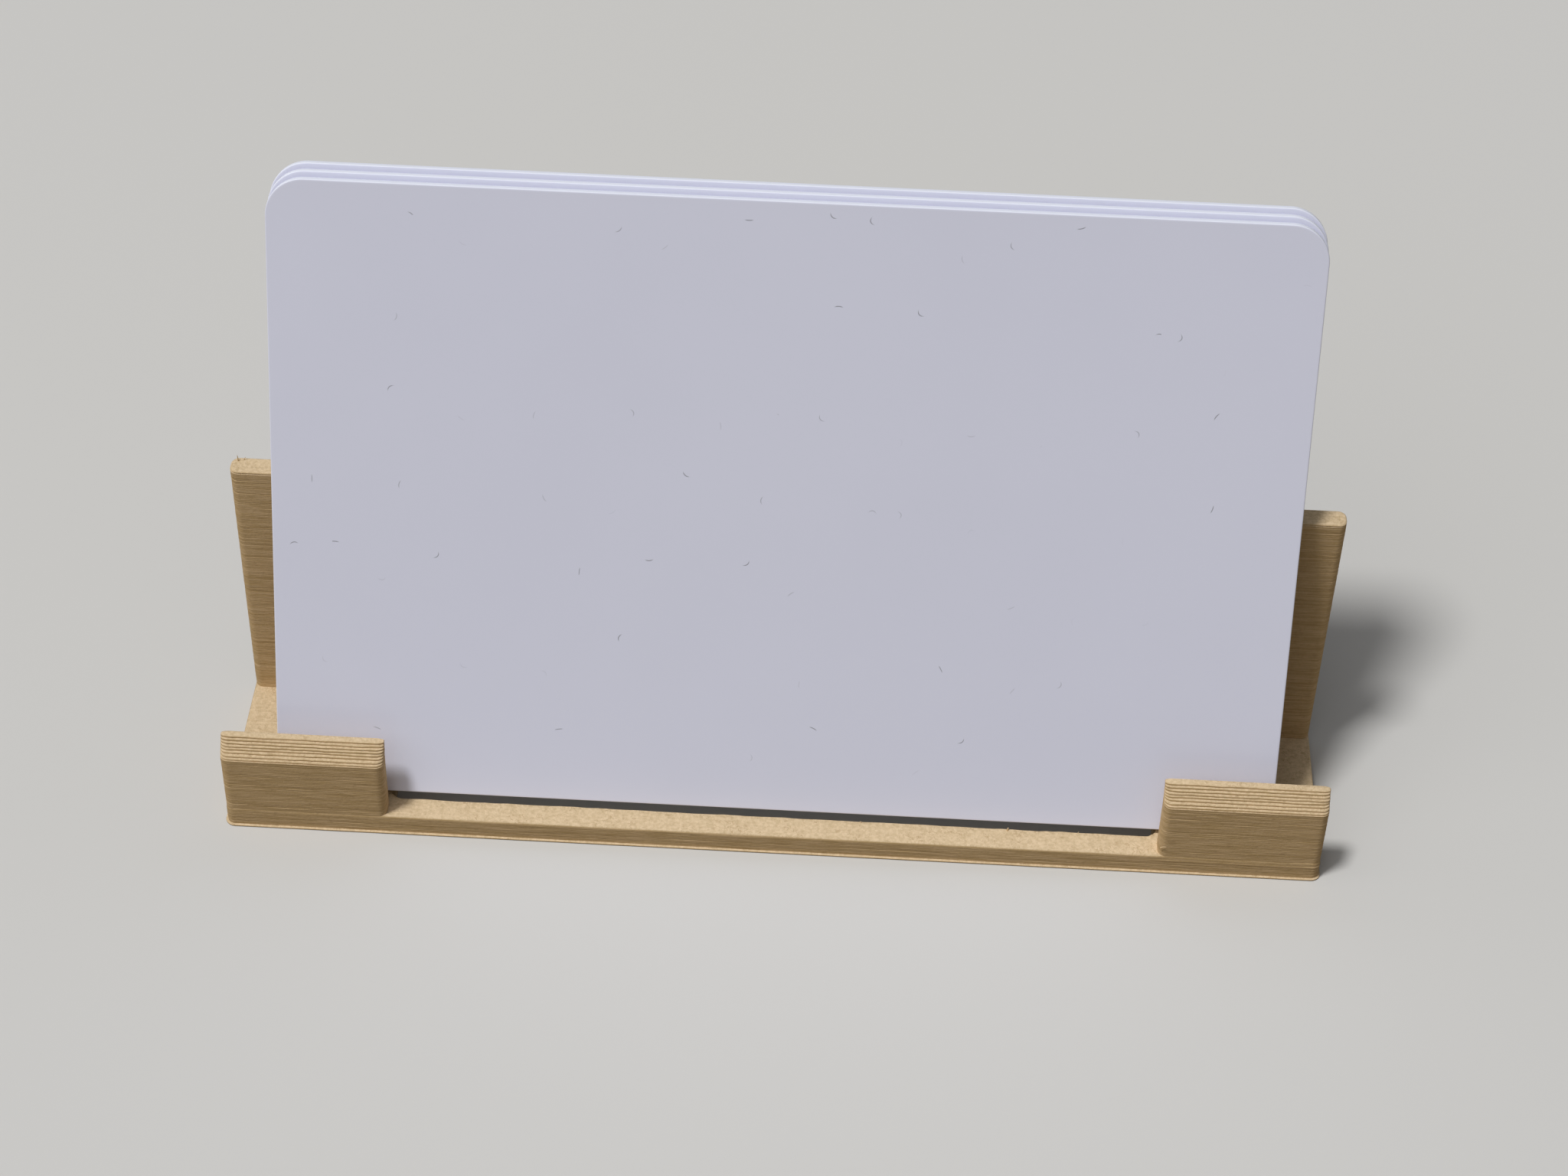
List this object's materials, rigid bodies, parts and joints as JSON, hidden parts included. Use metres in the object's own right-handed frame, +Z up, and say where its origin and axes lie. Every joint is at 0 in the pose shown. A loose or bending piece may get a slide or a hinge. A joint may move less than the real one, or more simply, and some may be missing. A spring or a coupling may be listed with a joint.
{
  "type": "business card holder",
  "caption": "Low open desk stand, printed in one piece with front lips and rear posts, with blank plastic cards standing in its slot and leaning back.",
  "frame": {"origin": "on the table, under the middle of the stand with its cards", "axes": "+X along the cards, +Y to the back, where the cards lean, +Z up"},
  "size_m": [0.094, 0.0244, 0.0532],
  "materials": {
    "printed_wood": "matte wood-filled print with fine level layer lines",
    "card_plastic": "smooth semi-gloss white"
  },
  "bodies": {
    "holder": {"holder_frame": "printed_wood"},
    "front_card": {"front_card": "card_plastic"},
    "middle_card": {"middle_card": "card_plastic"},
    "rear_card": {"rear_card": "card_plastic"}
  },
  "joints": [
    {"name": "front_card_lift", "type": "slide", "parent": "holder", "child": "front_card", "axis": [0, 0.3485, 0.9373], "range_m": [0, 0.03]},
    {"name": "middle_card_lift", "type": "slide", "parent": "holder", "child": "middle_card", "axis": [0, 0.3485, 0.9373], "range_m": [0, 0.03]},
    {"name": "rear_card_lift", "type": "slide", "parent": "holder", "child": "rear_card", "axis": [0, 0.3485, 0.9373], "range_m": [0, 0.03]}
  ]
}
